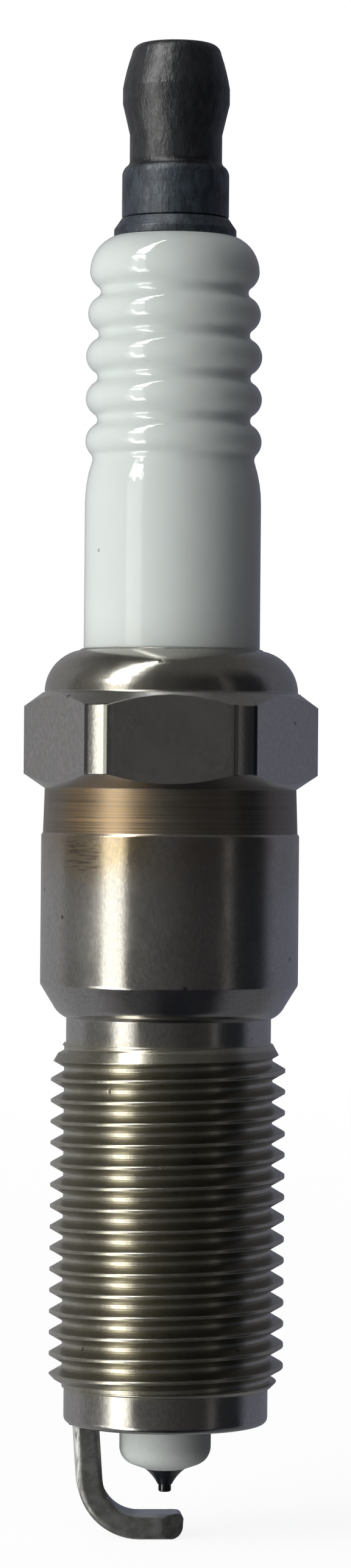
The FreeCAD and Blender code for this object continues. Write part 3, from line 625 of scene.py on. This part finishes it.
def window_panes(g, turn, rise, seen):
    """1 where the window's ragged panes are seen, and 0.7 in their image in the table below."""
    ragged = g.math("SUBTRACT", g.noise(seen, 14.0, 4.0, 0.65), 0.5)
    side = g.plus(turn, g.times(ragged, 14.0))
    height = g.plus(rise, g.times(ragged, 18.0))
    # the panes' left edge leans right as they rise
    over_sill = g.math("MAXIMUM", g.plus(rise, -30.0), 0.0)
    lean = g.plus(side, g.times(over_sill, -0.12))
    upper = g.times(g.step(lean, -63.0, -61.0), g.step(side, -42.0, -44.0))
    upper = g.times(upper, g.window(height, 20, 82, 2.0))
    # a dark bar crosses the panes
    off_bar = g.math("ABSOLUTE", g.plus(height, -32.0))
    upper = g.times(upper, g.step(off_bar, 1.0, 2.5))
    table = g.times(g.window(side, -61.0, -42.0, 1.5), g.window(height, -40, -9, 2.5))
    notch = g.times(g.step(side, -56.0, -54.0), g.step(height, -25.0, -23.0))
    table = g.times(table, g.math("SUBTRACT", 1.0, notch))
    return g.math("MAXIMUM", upper, g.times(table, 0.7))


def floor_reflections(g, turn):
    """What surfaces that face down mirror: nearly black in front, pale at the sides and behind."""
    front_left = colour(0.066, 0.066, 0.066)
    front_right = colour(0.011, 0.012, 0.016)
    left_behind = colour(0.24, 0.24, 0.25)
    right_side = colour(0.105, 0.108, 0.118)
    right_behind = colour(0.19, 0.19, 0.195)
    tone = g.mix(g.step(turn, -60, 0), front_left, front_right)
    tone = g.mix(g.step(turn, -60, -110), tone, left_behind)
    tone = g.mix(g.step(turn, 62, 84), tone, right_side)
    return g.mix(g.step(turn, 120, 150), tone, right_behind)


def room_glow(g, turn, rise):
    """What lights the matt surfaces: a bright wall on the left in a dim room."""
    dim = colour(0.078, 0.080, 0.086)
    bright_wall = colour(2.55, 2.62, 2.55)
    behind = colour(0.30, 0.34, 0.42)
    overhead = colour(0.30, 0.31, 0.31)
    underfoot = colour(0.16, 0.16, 0.16)
    tone = g.mix(g.window(turn, -84, -28, 12.0), dim, bright_wall)
    tone = g.mix(g.step(turn, -100, -150), tone, behind)
    tone = g.mix(g.step(rise, 35, 85), tone, overhead)
    return g.mix(g.step(rise, -30, -75), tone, underfoot)


def pale_floor():
    """A pale floor that touches the strap's lowest point and fades into the white room."""
    low, high = CAD_BOX
    radius = 6 * (high.z - low.z)
    mesh = bmesh.new()
    bmesh.ops.create_circle(mesh, cap_ends=True, segments=96, radius=radius)
    data = bpy.data.meshes.new("floor")
    mesh.to_mesh(data)
    mesh.free()
    floor = bpy.data.objects.new("floor", data)
    floor.location.z = low.z
    bpy.context.scene.collection.objects.link(floor)
    floor.data.materials.append(floor_paint(radius))
    # the floor takes the plug's shadow, but it doesn't light the plug or show in its metal
    floor.visible_diffuse = False
    floor.visible_glossy = False
    floor.visible_transmission = False
    floor.visible_shadow = False


def floor_paint(radius):
    """Faintly grained white that glows, so that only a soft shadow shows, and clears towards the rim."""
    material = bpy.data.materials.new("floor_paint")
    g = Graph(material)
    place = g.add("ShaderNodeTexCoord").outputs["Object"]
    grain = g.noise(place, 900.0, 3.0, 0.6)
    distance = g.add("ShaderNodeVectorMath", {0: place}, operation="LENGTH").outputs["Value"]
    tone = g.mix(grain, colour(0.19, 0.19, 0.19), colour(0.21, 0.21, 0.205))
    paint = g.add("ShaderNodeBsdfDiffuse", {"Color": tone})
    glow = g.add("ShaderNodeEmission", {"Color": colour(1, 1, 1), "Strength": 0.89})
    lit = g.add("ShaderNodeAddShader", {0: paint.outputs[0], 1: glow.outputs[0]})
    clear = g.add("ShaderNodeBsdfTransparent")
    fade = g.add("ShaderNodeMixShader", {0: g.step(distance, 0.25 * radius, 0.9 * radius)})
    g.tree.links.new(lit.outputs[0], fade.inputs[1])
    g.tree.links.new(clear.outputs[0], fade.inputs[2])
    output = g.add("ShaderNodeOutputMaterial")
    g.tree.links.new(fade.outputs[0], output.inputs["Surface"])
    return material


bpy.context.scene.view_settings.view_transform = "Standard"
strap_metal = dress_nodes()
strap_weld(strap_metal)
camera_view()
studio_world()
pale_floor()
